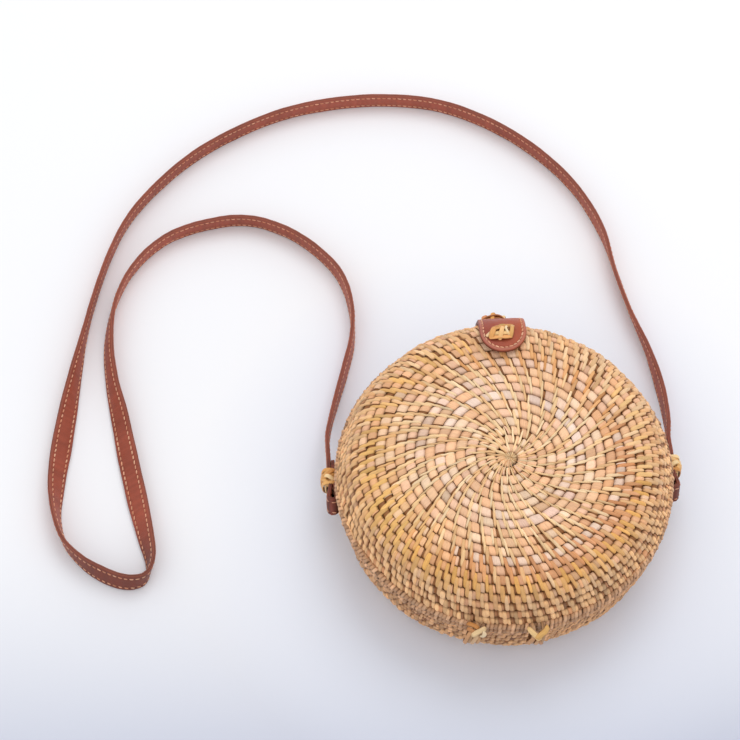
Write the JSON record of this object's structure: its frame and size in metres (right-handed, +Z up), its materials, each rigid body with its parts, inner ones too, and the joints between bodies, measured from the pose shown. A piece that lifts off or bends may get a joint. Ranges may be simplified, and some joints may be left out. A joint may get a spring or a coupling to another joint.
{
  "type": "circle bag",
  "caption": "Round shoulder bag coiled from woven cane, with a hinged lid, a closing tab with a press stud and a long leather strap.",
  "frame": {"origin": "middle of the flat back of the bag, on the table it lies on", "axes": "+Z up through the lid, +Y towards the closing tab, +X to the right seen from above with the tab away from the viewer"},
  "size_m": [0.3855, 0.4151, 0.0843],
  "materials": {
    "cane": "satin",
    "gold_cane": "satin",
    "leather": "satin",
    "cotton": "matt",
    "metal": "satin"
  },
  "bodies": {
    "back": {"back_shell": "cane", "back_rim": "cane", "back_lining": "cotton", "hinge_tie_left": "gold_cane", "hinge_tie_right": "gold_cane", "tab_base": "leather", "tab_knot_back": "gold_cane"},
    "lid": {"lid_shell": "cane", "lid_rim": "cane", "lid_lining": "cotton", "snap_stud": "metal", "snap_post": "metal"},
    "strap": {"strap_band": "leather", "strap_end_left": "leather", "strap_end_right": "leather", "strap_knot_left": "gold_cane", "strap_knot_right": "gold_cane"},
    "tab": {"tab_flap": "leather", "tab_knot_front": "gold_cane", "snap_cap": "metal", "snap_socket": "metal"}
  },
  "joints": [
    {"name": "lid_hinge", "type": "hinge", "parent": "back", "child": "lid", "pos_m": [-0.00558, -0.09984, 0.046], "axis": [0.9984, -0.0558, 0], "range_deg": [0, 110]},
    {"name": "strap_swivel", "type": "hinge", "parent": "back", "child": "strap", "pos_m": [0, 0.0117, 0.026], "axis": [1, 0, 0], "range_deg": [0, 90]},
    {"name": "tab_bend", "type": "hinge", "parent": "back", "child": "tab", "pos_m": [0.0035, 0.1021, 0.05], "axis": [-1, 0, 0], "range_deg": [0, 100]}
  ]
}
